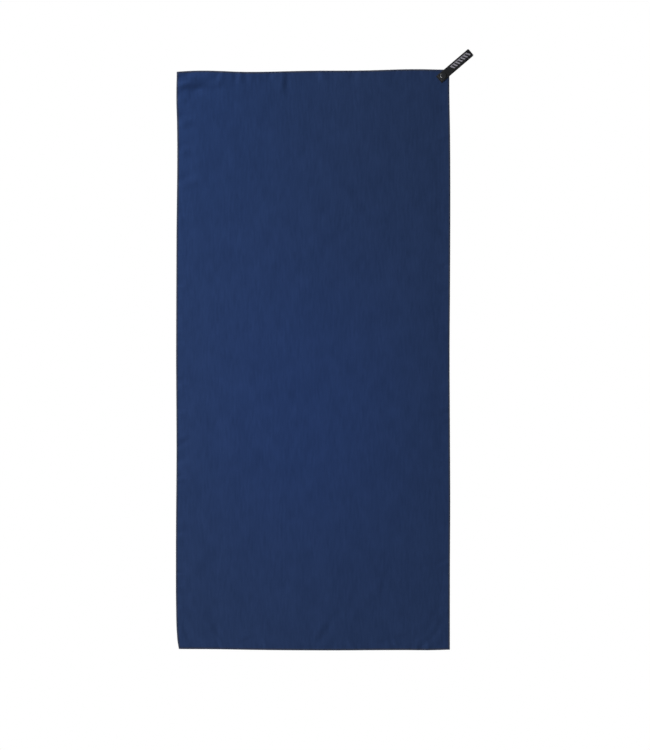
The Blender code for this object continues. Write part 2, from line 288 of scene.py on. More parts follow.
def sample(grid, x, z):
    """A grid over the whole sheet, read smoothly at any place; row 0 is at the top."""
    padded = np.pad(grid, 2, mode="edge")
    column = np.clip((x - LEFT) / WIDTH, 0, 1) * (grid.shape[1] - 1)
    row = np.clip((TOP - z) / HEIGHT, 0, 1) * (grid.shape[0] - 1)
    first_column = np.floor(column).astype(int)
    first_row = np.floor(row).astype(int)
    total = 0.0
    for i, across in enumerate(spline_weights(column - first_column)):
        for j, down in enumerate(spline_weights(row - first_row)):
            total = total + across * down * padded[first_row + j + 1, first_column + i + 1]
    return total


# ---- The drape: a cloth simulation that wrinkles the sheet's rim -------------
DRAPE_CELL = 0.006
DRAPE_STEPS = 18
LUMP = 0.013
LUMP_HEIGHT = 0.0020
DRAPE_SHARE = 0.5  # how much of the simulated height the sheet takes


def flat_sheet_for_drape(columns, rows):
    """A grid just in front of a board, lumpy enough for wrinkles to start."""
    x, z = np.meshgrid(np.linspace(LEFT, RIGHT, columns), np.linspace(TOP, BOTTOM, rows))
    lumps = np.random.default_rng(3).random((round(HEIGHT / LUMP), round(WIDTH / LUMP)))
    y = -0.0006 - LUMP_HEIGHT * sample(lumps, x, z)
    faces = grid_faces(rows, columns)
    return make_mesh("drape", np.stack((x, y, z), -1).reshape(-1, 3), faces), x, z


def hold_cloth(laid, x, z):
    """Vertex groups: the overlock's pull at the edges, and the board's grip inside them."""
    from_edge = np.minimum.reduce((x - LEFT, RIGHT - x, TOP - z, z - BOTTOM)).ravel()
    from_corner = np.hypot(RIGHT - x, TOP - z).ravel()
    pull = np.exp(-((from_edge / 0.006) ** 2))
    grip = 0.5 * np.clip((from_edge - 0.020) / 0.030, 0, 1)
    grip[from_corner < 0.050] = 1.0
    for label, weights in (("pull", pull), ("grip", grip)):
        group = laid.vertex_groups.new(name=label)
        for index in np.nonzero(weights > 0.01)[0]:
            group.add([int(index)], float(weights[index]), "REPLACE")


def make_board():
    """What the cloth is laid on while it settles."""
    middle = (0.0, 0.0012, (TOP + BOTTOM) / 2)
    bpy.ops.mesh.primitive_plane_add(size=6, location=middle, rotation=(math.radians(90), 0, 0))
    board = bpy.context.object
    board.modifiers.new("collision", "COLLISION")
    board.collision.thickness_outer = 0.001
    board.collision.cloth_friction = 20
    return board


def drape():
    """Lay the cloth on a board while its edges shrink; the wrinkles' height as a grid."""
    columns, rows = round(WIDTH / DRAPE_CELL) + 1, round(HEIGHT / DRAPE_CELL) + 1
    laid, x, z = flat_sheet_for_drape(columns, rows)
    hold_cloth(laid, x, z)
    board = make_board()
    scene = bpy.context.scene
    kept_gravity = scene.gravity.copy()
    scene.gravity = (0, 9.81, 0)
    cloth = laid.modifiers.new("cloth", "CLOTH")
    settings = cloth.settings
    settings.quality = 4
    settings.mass = 0.1
    settings.bending_stiffness = 20
    settings.tension_stiffness = 15
    settings.compression_stiffness = 15
    settings.shear_stiffness = 5
    settings.vertex_group_shrink = "pull"
    settings.shrink_max = 0.02
    settings.vertex_group_mass = "grip"
    cloth.collision_settings.distance_min = 0.0008
    for step in range(1, DRAPE_STEPS + 1):
        scene.frame_set(step)
    settled = laid.evaluated_get(bpy.context.evaluated_depsgraph_get())
    height = np.array([vertex.co.y for vertex in settled.data.vertices]).reshape(rows, columns)
    scene.frame_set(1)
    scene.gravity = kept_gravity
    for used in (laid, board):
        bpy.data.objects.remove(used)
    return height - np.median(height)


def soften(grid):
    """Average each knot with its four neighbours."""
    padded = np.pad(grid, 1, mode="edge")
    beside = padded[:-2, 1:-1] + padded[2:, 1:-1] + padded[1:-1, :-2] + padded[1:-1, 2:]
    return beside / 8 + grid / 2


def relief(x, z):
    """How far the cloth's middle lies behind its flat plane."""
    height = broad_waves(x, z) + edge_ripples(x, z) + edge_curl(x, z) + wrinkles(x, z)
    if draped is not None:
        height = height + DRAPE_SHARE * sample(draped, x, z)
    return height * calm(x, z) + pinch(x, z)


def sheet_point(x, z):
    """Where a place on the flat cloth lies once the towel is laid out."""
    u = (x - LEFT) / WIDTH
    v = (TOP - z) / HEIGHT
    aside = (1 - u) * curve_through(LEFT_EDGE, z) + u * curve_through(RIGHT_EDGE, z)
    upward = (1 - v) * curve_through(TOP_EDGE, x) + v * curve_through(BOTTOM_EDGE, x)
    return np.stack((x + aside, relief(x, z), z + upward), -1)


def sheet(x, z):
    """Points of the cloth's middle and the directions its front faces."""
    step = 0.0005
    rightward = sheet_point(x + step, z) - sheet_point(x - step, z)
    upward = sheet_point(x, z + step) - sheet_point(x, z - step)
    normal = np.cross(rightward, upward)
    return sheet_point(x, z), normal / np.linalg.norm(normal, axis=-1, keepdims=True)


# ---- Mesh helpers ------------------------------------------------------------
def grid_faces(rows, columns):
    """Quads over a grid of points that are numbered row by row."""
    index = np.arange(rows * columns).reshape(rows, columns)
    corners = (index[:-1, :-1], index[1:, :-1], index[1:, 1:], index[:-1, 1:])
    return np.stack(corners, -1).reshape(-1, 4)


def tube_faces(rings, sides, first=0):
    """Quads round a tube of closed rings."""
    index = first + np.arange(rings * sides).reshape(rings, sides)
    beside = np.roll(index, -1, axis=1)
    corners = (index[:-1], index[1:], beside[1:], beside[:-1])
    return np.stack(corners, -1).reshape(-1, 4)


def make_mesh(name, points, faces, place=None):
    """A mesh object; a closed one's faces point outwards.

    Place gives each point's spot on the flat material, for its pattern.
    """
    mesh = bpy.data.meshes.new(name)
    mesh.from_pydata(points.tolist(), [], [list(face) for face in faces])
    shape = bmesh.new()
    shape.from_mesh(mesh)
    bmesh.ops.recalc_face_normals(shape, faces=shape.faces)
    shape.to_mesh(mesh)
    shape.free()
    if place is not None:
        attribute = mesh.attributes.new("place", "FLOAT_VECTOR", "POINT")
        attribute.data.foreach_set("vector", place.astype(np.float32).ravel())
    mesh.shade_smooth()
    mesh.set_sharp_from_angle(angle=math.radians(50))
    made = bpy.data.objects.new(name, mesh)
    bpy.context.scene.collection.objects.link(made)
    return made


def finish_piece(piece, material, nodes):
    """Give a piece its material, and hide the CAD nodes it replaces."""
    piece.data.materials.append(material)
    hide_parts(*nodes)
    return piece


def join_steps(*stretches):
    """Places along a line from (start, end, step) stretches that follow each other."""
    runs = []
    for start, end, step in stretches:
        count = max(1, round(abs(end - start) / step))
        runs.append(np.linspace(start, end, count + 1)[:-1])
    runs.append([stretches[-1][1]])
    return np.concatenate(runs)


# ---- Cloth -------------------------------------------------------------------
CELL = 0.003  # the cloth's grid in the open
FINE_CELL = 0.002  # and inside the overlock and round the loop
FOLD_CELL = 0.0015  # and round the folds
LOOP_ZONE = 0.100
FOLD_ZONE = 0.021
TOP_PANEL_END = -0.350
MIDDLE_PANEL_END = -0.850
PRESSED = 0.75  # share of the cloth's thickness that is left inside the overlock


def cloth_columns():
    """Where the grid's columns are; one of them lies at each overlock's inner lip."""
    inner_left, inner_right = LEFT + SEAM_DEPTH, RIGHT - SEAM_DEPTH
    return join_steps(
        (LEFT + CLOTH_INSET, inner_left, FINE_CELL),
        (inner_left, RIGHT - LOOP_ZONE, CELL),
        (RIGHT - LOOP_ZONE, inner_right, FINE_CELL),
        (inner_right, RIGHT - CLOTH_INSET, FINE_CELL),
    )


def make_panel(name, rows):
    """A closed slab of cloth over rows of the sheet, thinner inside the overlock."""
    columns = cloth_columns()
    x, z = np.meshgrid(columns, rows)
    middle, front = sheet(x, z)
    from_edge = np.minimum.reduce((x - LEFT, RIGHT - x, TOP - z, z - BOTTOM))
    pressed = np.where(from_edge < SEAM_DEPTH * 0.99, PRESSED, 1.0)
    offset = front * (CLOTH / 2 * pressed)[..., None]
    points = np.concatenate([(middle + offset).reshape(-1, 3), (middle - offset).reshape(-1, 3)])
    count = x.size
    facing = grid_faces(*x.shape)
    away = facing[:, ::-1] + count
    index = np.arange(count).reshape(x.shape)
    ring = np.concatenate([index[:-1, 0], index[-1, :-1], index[:0:-1, -1], index[0, :0:-1]])
    beside = np.roll(ring, -1)
    rim = np.stack((ring, ring + count, beside + count, beside), -1)
    flat = np.stack((x, z, np.zeros_like(x)), -1).reshape(-1, 3)
    behind = flat + (0.0, 0.0, 1.0)
    faces = np.concatenate([facing, away, rim])
    return make_mesh(name, points, faces, np.concatenate([flat, behind]))


def fold_rows(start, fold, end):
    """Rows of a panel that folds: fine round the fold."""
    return join_steps(
        (start, fold + FOLD_ZONE, CELL),
        (fold + FOLD_ZONE, fold - FOLD_ZONE, FOLD_CELL),
        (fold - FOLD_ZONE, end, CELL),
    )


def make_cloth(material):
    """The towel's one sheet, in three panels."""
    top_rows = join_steps(
        (TOP - CLOTH_INSET, TOP - SEAM_DEPTH, FINE_CELL),
        (TOP - SEAM_DEPTH, TOP - LOOP_ZONE, FINE_CELL),
        (TOP - LOOP_ZONE, TOP_PANEL_END, CELL),
    )
    middle_rows = fold_rows(TOP_PANEL_END, HALF_FOLD, MIDDLE_PANEL_END)
    above_seam = fold_rows(MIDDLE_PANEL_END, QUARTER_FOLD, BOTTOM + SEAM_DEPTH)
    in_seam = join_steps((BOTTOM + SEAM_DEPTH, BOTTOM + CLOTH_INSET, FINE_CELL))
    bottom_rows = np.concatenate([above_seam[:-1], in_seam])
    panels = (
        ("cloth_top", top_rows, ("cloth_upper", "cloth_corner"), bend_at_corner),
        ("cloth_middle", middle_rows, ("cloth_lower",), bend_at_half),
        ("cloth_bottom_half", bottom_rows, ("cloth_bottom",), bend_at_quarter),
    )
    for name, rows, nodes, bend in panels:
        bend(finish_piece(make_panel(name, rows), material, nodes))


# ---- Pieces baked in place; no bending is set up here ------------------------
FOLD_BEND = 0.013  # half length of the zone round the towel's folds; the places made from it are not used
LOOP_BEND = 0.0026  # half length of the zone round the loop's own fold; the places made from it are not used


def bend_at_corner(piece):
    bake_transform(piece)


def bend_at_half(piece):
    start, end = (0, 0, HALF_FOLD + FOLD_BEND), (0, 0, HALF_FOLD - FOLD_BEND)
    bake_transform(piece)
    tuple(start)
    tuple(end)


def bend_at_quarter(piece):
    start, end = (0, 0, QUARTER_FOLD + FOLD_BEND), (0, 0, QUARTER_FOLD - FOLD_BEND)
    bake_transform(piece)
    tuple(start)
    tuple(end)


# ---- Overlock ----------------------------------------------------------------
SEAM_GAP = 0.00004  # between the cloth and the inside of the overlock
STITCH = 0.0018  # from one turn of thread to the next
RING_STEP = STITCH / 6
SEAM_SIDES = 13  # points over the outside of the overlock
THREAD_RISE = 0.00020  # how far the turns of thread stand out
NEEDLE_RISE = 0.00018  # and the needle stitches at both lips
END_ROUND = 0.0008  # a run of overlock closes over this length
THREAD_SLANT = 0.8  # turns that the thread advances on its way from lip to lip


def seam_profile():
    """Outline of the overlock round the cloth's edge, as (inward, height, over) points.

    Over runs from 0 at the front lip to 1 at the back lip, and is -1 inside the seam.
    """
    full = SEAM_THICK / 2 - THREAD_RISE
    squareness = 0.55  # 1 would make it an ellipse, and less makes its sides flatter
    thinning = 0.28  # towards the lips
    outline = []
    for side in range(SEAM_SIDES):
        over = side / (SEAM_SIDES - 1)
        angle = math.pi * over
        inward = SEAM_DEPTH * (1 - math.sin(angle))
        lean = 1 - thinning * (inward / SEAM_DEPTH) ** 2
        bulge = math.copysign(abs(math.cos(angle)) ** squareness, math.cos(angle))
        outline.append((inward, full * lean * bulge, over))
    slot = CLOTH / 2 + SEAM_GAP
    closed = CLOTH_INSET * 0.7
    inside = ((SEAM_DEPTH, -slot), (closed, -slot), (closed, slot), (SEAM_DEPTH, slot))
    return outline + [(inward, height, -1.0) for inward, height in inside]


def thread_rise(along, over):
    """How far the thread stands out of the overlock's smooth outline."""
    turn = along / STITCH + THREAD_SLANT * over
    thread = np.abs(np.cos(math.pi * turn)) - 0.5
    loose = 1 + 0.35 * value_noise(along / STITCH / 1.7 + 3 * over, 21)
    near_lip = np.exp(-((np.minimum(over, 1 - over) / 0.06) ** 2))
    needle = np.abs(np.sin(math.pi * along / (1.5 * STITCH))) * near_lip
    return np.where(over >= 0, THREAD_RISE * thread * loose + NEEDLE_RISE * needle, 0.0)


def make_seam(name, start, end, inward_way):
    """Overlock along an edge of the flat sheet from start to end, both (x, z)."""
    start, end, way = np.array(start), np.array(end), np.array(inward_way)
    length = np.linalg.norm(end - start)
    rings = round(length / RING_STEP) + 1
    along = np.linspace(0, length, rings)[:, None]
    inward, height, over = np.array(seam_profile()).T
    rise = thread_rise(along, over)
    ends = np.minimum(along, length - along) / END_ROUND
    rounded = np.sqrt(np.clip(1 - (1 - np.clip(ends, 0, 1)) ** 2, 0.16, 1))
    reach = inward - rise * np.sin(math.pi * np.clip(over, 0, 1))
    lift = height * rounded + np.sign(height) * rise * np.abs(np.cos(math.pi * over))
    spot = start + (end - start) * (along / length)
    x = spot[:, :1] + way[0] * reach
    z = spot[:, 1:] + way[1] * reach
    middle, front = sheet(x, z)
    points = middle + front * lift[..., None]
    sides = len(inward)
    caps = [list(range(sides)), list(range((rings - 1) * sides, rings * sides))]
    faces = tube_faces(rings, sides).tolist() + caps
    apart = 10 * abs(way[0])  # metres, so that side and end seams don't share their pattern
    place = np.stack(np.broadcast_arrays(along + apart, over, height), -1)
    return make_mesh(name, points.reshape(-1, 3), faces, place.reshape(-1, 3))


def make_overlock(material):
    """Four runs of thread, the long ones divided where the towel bends."""
    gap = 0.00002
    under_top, above_bottom = TOP - SEAM_DEPTH - gap, BOTTOM + SEAM_DEPTH + gap
    right, left = (-1.0, 0.0), (1.0, 0.0)
    spans = (
        ("overlock_top_edge", (LEFT, TOP), (RIGHT, TOP), (0.0, -1.0),
         ("overlock_top", "overlock_top_corner"), bend_at_corner),
        ("overlock_right_top", (RIGHT, under_top), (RIGHT, TOP_PANEL_END), right,
         ("overlock_right_corner", "overlock_right_upper"), bend_at_corner),
        ("overlock_right_middle", (RIGHT, TOP_PANEL_END), (RIGHT, MIDDLE_PANEL_END), right,
         ("overlock_right_lower",), bend_at_half),
        ("overlock_right_end", (RIGHT, MIDDLE_PANEL_END), (RIGHT, above_bottom), right,
         ("overlock_right_bottom",), bend_at_quarter),
        ("overlock_left_middle", (LEFT, under_top), (LEFT, MIDDLE_PANEL_END), left,
         ("overlock_left_upper", "overlock_left_lower"), bend_at_half),
        ("overlock_left_end", (LEFT, MIDDLE_PANEL_END), (LEFT, above_bottom), left,
         ("overlock_left_bottom",), bend_at_quarter),
        ("overlock_bottom_edge", (LEFT, BOTTOM), (RIGHT, BOTTOM), (0.0, 1.0),
         ("overlock_bottom",), None),
    )
    for name, start, end, way, nodes, bend in spans:
        seam = finish_piece(make_seam(name, start, end, way), material, nodes)
        if bend:
            bend(seam)
        else:
            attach(seam, "towel_bottom")


# ---- Webbing -----------------------------------------------------------------
RIB = 0.00125  # width of a warp rib
PICK = 0.0014  # distance between weft threads
WEAVE_RISE = 0.00011
RIB_POINTS = 65  # points across the strap
TIP_ROUND = 0.0026  # the strap narrows over this length, at the outside of its fold
SEWN_DROP = 0.0008  # the sewn end lies this much nearer the cloth than the rest
TAIL_CURL = 0.0007  # and the tail's end this much


def strap_line():
    """Side view of the strap's middle: (along, depth, which way is out) for each ring."""
    step = PICK / 4
    radius = (WEB_REAR - WEB_FRONT) / 2
    bend_at = LOOP_TIP - WEB_THICK / 2 - radius
    out = np.arange(SEWN_END, bend_at, step)
    sewn = SEWN_DROP * (1 - smoothstep(out, SEWN_END + 0.0015, SEWN_END + 0.0085))
    line = [(along, WEB_FRONT + drop, 0.0) for along, drop in zip(out, sewn)]
    turns = round(math.pi * radius / step)
    for turn in range(turns + 1):
        angle = math.pi * turn / turns
        depth = WEB_FRONT + radius * (1 - math.cos(angle))
        line.append((bend_at + radius * math.sin(angle), depth, angle))
    back = np.arange(bend_at, TAIL_END, -step)[1:]
    curl = TAIL_CURL * (1 - smoothstep(back, TAIL_END, TAIL_END + 0.006))
    line += [(along, WEB_REAR - lean, math.pi) for along, lean in zip(back, curl)]
    return np.array(line)


def weave_rise(length, ribs):
    """Height of the weave; ribs run from -1 to 1 across the strap."""
    column = (ribs * WEB_HALF / RIB)[None, :]
    row = length[:, None] / PICK
    basket = np.abs(np.sin(math.pi * (row + 0.5 * (np.floor(column) % 2))))
    cord = np.abs(np.sin(math.pi * column)) ** 0.6
    return WEAVE_RISE * (basket * cord * 2 - 1) * (np.abs(ribs) < 0.99)


def make_strap(material):
    """One length of ribbed webbing, folded into the loop."""
    along, depth, angle = strap_line().T
    length = np.concatenate([[0], np.cumsum(np.hypot(np.diff(along), np.diff(depth)))])
    ribs = np.linspace(-1, 1, RIB_POINTS)
    inside_tip = np.clip((along - along.max()) / TIP_ROUND + 1, 0, 1)
    half = WEB_HALF - TIP_ROUND * 0.7 * (1 - np.sqrt(1 - inside_tip**2))
    across = half[:, None] * ribs
    selvedge = np.sqrt(1 - 0.86 * np.abs(ribs) ** 10)
    thick = WEB_THICK / 2 * selvedge + weave_rise(length, ribs)
    outward = np.stack((np.sin(angle), -np.cos(angle)), -1)[:, None, :]
    spine = np.stack((along, depth), -1)[:, None, :]
    outer = spine + outward * thick[..., None]
    inner = (spine - outward * thick[..., None])[:, ::-1]
    side_view = np.concatenate([outer, inner], axis=1)
    widths = np.concatenate([across, across[:, ::-1]], axis=1)
    points = loop_place(side_view[..., 0], side_view[..., 1], widths)
    rings, sides = widths.shape
    faces = tube_faces(rings, sides)
    first = [[i, i + 1, sides - 2 - i, sides - 1 - i] for i in range(RIB_POINTS - 1)]
    last = [[(rings - 1) * sides + i for i in face] for face in first]
    face_side = np.concatenate([np.ones(RIB_POINTS), -np.ones(RIB_POINTS)])
    spot = (length[:, None] + along[0], widths / half[:, None] * WEB_HALF, face_side)
    place = np.stack(np.broadcast_arrays(*spot), -1)
    strap = make_mesh("webbing_strap", points.reshape(-1, 3), faces.tolist() + first + last,
                      place.reshape(-1, 3))
    finish_piece(strap, material, ("webbing_front_ply", "webbing_rear_ply"))
    start, end = (0, FOLD_DEPTH - LOOP_BEND, 0), (0, FOLD_DEPTH + LOOP_BEND, 0)
    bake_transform(strap)
    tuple(start)
    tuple(end)


# ---- Bar tack ----------------------------------------------------------------
TACK_STITCHES = 34  # on each side of the cloth
TACK_THREAD = 0.00029  # radius of the thread
TACK_BOW = 0.00018  # how far a stitch rises in its middle
TACK_LEAN = 0.00016  # the zigzag, to each side
STITCH_RINGS, STITCH_SIDES = 7, 6


def stitch(start, end, out):
    """Points of one short bowed thread between two places in the loop's axes."""
    t = np.linspace(0, 1, STITCH_RINGS)[:, None]
    middle = start + (end - start) * t + TACK_BOW * np.sin(math.pi * t) * out
    way = (end - start) / np.linalg.norm(end - start)
    beside = np.cross(way, out)
    angle = 2 * math.pi * np.arange(STITCH_SIDES) / STITCH_SIDES
    size = TACK_THREAD * np.sqrt(np.clip(1 - (2 * t - 1) ** 4, 0.15, 1))
    around = np.cos(angle)[None, :, None] * beside + np.sin(angle)[None, :, None] * out
    return middle[:, None, :] + size[..., None] * around


def make_bar_tack(material):
    """A row of close zigzag stitches over the webbing, and their undersides on the back."""
    middle = (tack_low[0] + tack_high[0]) / 2
    half_width, half_length = (tack_high[0] - tack_low[0]) / 2, tack_high[2]
    front = WEB_FRONT + SEWN_DROP * 0.5 - WEB_THICK / 2
    points, faces = [], []
    first, count = 0, STITCH_RINGS * STITCH_SIDES
    for depth, out in ((front, -1.0), (CLOTH / 2, 1.0)):
        for number in range(TACK_STITCHES):
            across = half_length * (2 * (number + 0.5) / TACK_STITCHES - 1)
            lean = TACK_LEAN * (1 if number % 2 else -1)
            start = np.array((middle - half_width, depth, across - lean))
            end = np.array((middle + half_width, depth, across + lean))
            points.append(stitch(start, end, np.array((0.0, out, 0.0))).reshape(-1, 3))
            faces += tube_faces(STITCH_RINGS, STITCH_SIDES, first).tolist()
            faces.append(list(range(first, first + STITCH_SIDES)))
            faces.append(list(range(first + count - STITCH_SIDES, first + count)))
            first += count
    local = np.concatenate(points)
    world = loop_place(local[:, 0], local[:, 1], local[:, 2])
    tack = make_mesh("bar_tack_stitches", world, faces, local)
    finish_piece(tack, material, ("bar_tack",))
    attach(tack, "towel_corner")


# ---- Snap --------------------------------------------------------------------
TURN_STEPS = 72
CAP_GAP = 0.00003  # between a cap and the webbing under it
CAP_HEIGHT = 0.0017
DOME_DROP = 0.0003  # how much lower the dome is at its shoulder
CAP_SHOULDER = 0.0014
BOSS_RADIUS = 0.0022
MOUTH_RADIUS = 0.0025


def turned(name, profile):
    """A solid turned about the snap's axis from (radius, depth) points.

    The profile starts and ends on the axis.
    """
    radius, depth = np.array(profile[1:-1]).T
    angle = 2 * math.pi * np.arange(TURN_STEPS) / TURN_STEPS
    along = SNAP_AT + radius[:, None] * np.cos(angle)
    across = radius[:, None] * np.sin(angle)
    rings = loop_place(along, depth[:, None], across).reshape(-1, 3)
    ends = [loop_place(SNAP_AT, depth, 0.0) for depth in (profile[0][1], profile[-1][1])]
    points = np.concatenate([rings, ends])
    faces = tube_faces(len(radius), TURN_STEPS).tolist()
    first, last = len(rings), len(rings) + 1
    base = (len(radius) - 1) * TURN_STEPS
    for step in range(TURN_STEPS):
        beside = (step + 1) % TURN_STEPS
        faces.append([first, step, beside])
        faces.append([last, base + beside, base + step])
    local = (points - LOOP_ORIGIN) @ LOOP_AXES.T
    return make_mesh(name, points, faces, local)


def round_corner(middle, radius, start, end, steps=5):
    """Points of an arc, its angles in degrees from outwards (0) to the first side (90)."""
    points = []
    for step in range(steps + 1):
        angle = math.radians(start + (end - start) * step / steps)
        points.append((middle[0] + radius * math.cos(angle), middle[1] + radius * math.sin(angle)))
    return points


def cap_profile(rim):
    """A snap's cap: a low dome with a round shoulder, as (radius, height) points."""
    edge = rim - CAP_SHOULDER
    dome = [(edge * t, CAP_HEIGHT - DOME_DROP * t * t) for t in (0.0, 0.25, 0.5, 0.75, 0.92)]
    outer = round_corner((edge, 0.00002), CAP_SHOULDER, 84, 0, 12)
    return dome + outer + [(rim - 0.0002, 0.0), (0.0, 0.0)]


def stud_profile():
    """A stud: a flange on the cloth and a round-headed boss, from its back to its front."""
    flange, boss = stud_high[2], BOSS_RADIUS
    base, top = stud_low[1] - 0.0006, stud_high[1]
    step = stud_low[1] + 0.0008
    neck = boss * 0.86
    points = [(0.0, top), (boss * 0.45, top)]
    points += round_corner((boss - 0.0005, top - 0.0005), 0.0005, 90, 0)
    points += [(neck, step + 0.0009), (neck, step + 0.0004)]
    points += [(boss + 0.0002, step + 0.0001), (boss + 0.0006, step)]
    points += round_corner((flange - 0.0004, step - 0.0004), 0.0004, 90, 0)
    return points + [(flange, base), (0.0, base)]


def socket_profile():
    """A socket: a cup whose mouth takes the stud's boss, back to front."""
    outer, mouth = socket_high[2], MOUTH_RADIUS
    back, front = socket_high[1] + 0.0003, socket_low[1]
    floor = stud_high[1] + 0.0003
    points = [(0.0, back), (outer * 0.5, back)]
    points += round_corner((outer - 0.0005, back - 0.0005), 0.0005, 90, 0)
    points += round_corner((outer - 0.0005, front + 0.0005), 0.0005, 0, -90)
    points += round_corner((mouth + 0.0004, front + 0.0004), 0.0004, -90, -180)
    return points + [(mouth, floor - 0.0002), (mouth - 0.0002, floor), (0.0, floor)]


def make_snap(material):
    """Cap and stud through the webbing and cloth, socket and cap on the strap's tail."""
    front_face = WEB_FRONT - WEB_THICK / 2 - CAP_GAP
    rear_face = WEB_REAR + WEB_THICK / 2 + CAP_GAP
    cap = cap_profile(CAP_RADIUS)
    front = [(radius, front_face - height) for radius, height in cap]
    rear = [(radius, rear_face + height) for radius, height in cap]
    pieces = (
        ("snap_cap_front", front, "snap_front_cap", "towel_corner"),
        ("snap_stud_round", stud_profile(), "snap_stud", "towel_corner"),
        ("snap_socket_round", socket_profile(), "snap_socket", "loop_rear"),
        ("snap_cap_rear", rear, "snap_rear_cap", "loop_rear"),
    )
    for name, profile, node, body in pieces:
        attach(finish_piece(turned(name, profile), material, (node,)), body)


# ---- Materials ---------------------------------------------------------------
class Shader:
    """A material's node tree, with short calls to add to it."""

    def __init__(self, name):
        self.material = bpy.data.materials.new(name)
        self.material.use_nodes = True
        self.tree = self.material.node_tree
        self.surface = self.tree.nodes["Principled BSDF"]

    def node(self, kind, inputs, **settings):
        """A new node, with its inputs set from values or other nodes' outputs."""
        made = self.tree.nodes.new("ShaderNode" + kind)
        for key, value in settings.items():
            setattr(made, key, value)
        for key, value in inputs.items():
            self.plug(made.inputs[key], value)
        return made

    def plug(self, socket, value):
        if isinstance(value, bpy.types.NodeSocket):
            self.tree.links.new(value, socket)
        else:
            socket.default_value = value

    def calc(self, operation, first, second=0.0, third=0.0, clamp=False):
        inputs = {0: first, 1: second, 2: third}
        return self.node("Math", inputs, operation=operation, use_clamp=clamp).outputs[0]

    def vector(self, operation, first, second, third=(0.0, 0.0, 0.0)):
        inputs = {0: first, 1: second, 2: third}
        return self.node("VectorMath", inputs, operation=operation).outputs[0]

    def spot(self):
        """Where a point lies on the flat material."""
        return self.node("Attribute", {}, attribute_name="place").outputs["Vector"]

    def axes(self, spot):
        """A spot's x, y and z, as three outputs."""
        return self.node("SeparateXYZ", {0: spot}).outputs

    def noise(self, spot, stretch, detail=2.0, rough=0.5):
        """Noise from 0 to 1 whose grains are as long as stretch says, in metres."""
        scale = [1 / size for size in stretch]
        scaled = self.vector("MULTIPLY", spot, scale)
        inputs = {"Vector": scaled, "Scale": 1.0, "Detail": detail, "Roughness": rough}
        return self.node("TexNoise", inputs).outputs[0]

    def waves(self, value, length):
        """A sine, as long as length says, in metres."""
        return self.calc("SINE", self.calc("MULTIPLY", value, 2 * math.pi / length))

    def mix(self, share, first, second):
        """A colour between two."""
        made = self.node("Mix", {0: share, 6: first, 7: second}, data_type="RGBA")
        return made.outputs[2]

    def bump(self, height, distance, under=None):
        inputs = {"Height": height, "Distance": distance, "Strength": 1.0}
        if under:
            inputs["Normal"] = under
        return self.node("Bump", inputs).outputs[0]

    def set(self, **inputs):
        """Set the surface's inputs; an underscore in a name stands for a space."""
        for key, value in inputs.items():
            self.plug(self.surface.inputs[key.replace("_", " ")], value)
        return self.material


# Painted light over the sheet: a brighter, bluer pool painted over its middle, and at the top left
# a cooler tint painted against the key light's whitish highlight.
# For each: where it is strongest, how far it reaches aside and upwards, and what it adds to red,
# green and blue
HUE_GROUND = (1.00, 0.95, 0.89)
PAINTED_LIGHT_SHIFTS = (
    ((-0.03, -0.81), (0.32, 0.41), (0.01, 0.13, 0.29)),
    ((-0.32, 0.00), (0.32, 0.54), (-0.21, 0.00, 0.15)),
)


def painted_light_spot(shader, axes, middle, reach):
    """1 at a spot on the sheet, fading smoothly to 0 round it."""
    aside = shader.calc("DIVIDE", shader.calc("SUBTRACT", axes[0], middle[0]), reach[0])
    upward = shader.calc("DIVIDE", shader.calc("SUBTRACT", axes[1], middle[1]), reach[1])
    away = shader.calc("MULTIPLY_ADD", aside, aside, shader.calc("MULTIPLY", upward, upward))
    return shader.calc("EXPONENT", shader.calc("MULTIPLY", away, -1.0))


def cloth_material():
    """Suede-like navy microfibre: fine weave, brushed nap and faint streaks down its length."""
    shader = Shader("navy microfibre")
    spot = shader.spot()
    axes = shader.axes(spot)
    streaks = shader.noise(spot, (0.0050, 0.034, 1.0), 3.0, 0.55)
    patches = shader.noise(spot, (0.038, 0.060, 1.0), 3.0)
    nap = shader.noise(spot, (0.0011, 0.0016, 1.0), 2.0, 0.6)
    tone = shader.calc("MULTIPLY", streaks, 0.8)
    tone = shader.calc("MULTIPLY_ADD", patches, 0.55, tone)
    tone = shader.calc("MULTIPLY_ADD", nap, 0.35, tone)
    tone = shader.calc("SUBTRACT", tone, 0.35, clamp=True)
    color = shader.mix(tone, (0.0044, 0.0154, 0.0545, 1.0), (0.0127, 0.0302, 0.0935, 1.0))
    # Painted light: the cloth's colour is tinted brighter and bluer in the middle and cooler at
    # the top left, on the front and the back alike.
    painted_light_tint = HUE_GROUND
    for middle, reach, added in PAINTED_LIGHT_SHIFTS:
        share = painted_light_spot(shader, axes, middle, reach)
        painted_light_tint = shader.vector("MULTIPLY_ADD", share, added, painted_light_tint)
    color = shader.vector("MULTIPLY", color, painted_light_tint)
    warp = shader.waves(axes[0], 0.0007)
    weft = shader.waves(axes[1], 0.0008)
    weave = shader.calc("MULTIPLY", warp, weft)
    drawn = shader.bump(streaks, 0.00035)
    brushed = shader.bump(nap, 0.00022, drawn)
    normal = shader.bump(weave, 0.00003, brushed)
    rough = shader.calc("MULTIPLY_ADD", nap, 0.16, 0.78)
    return shader.set(
        Base_Color=color, Roughness=rough, Normal=normal, Specular_IOR_Level=0.15,
        Sheen_Weight=0.05, Sheen_Roughness=0.45, Sheen_Tint=(0.25, 0.38, 0.85, 1.0),
    )


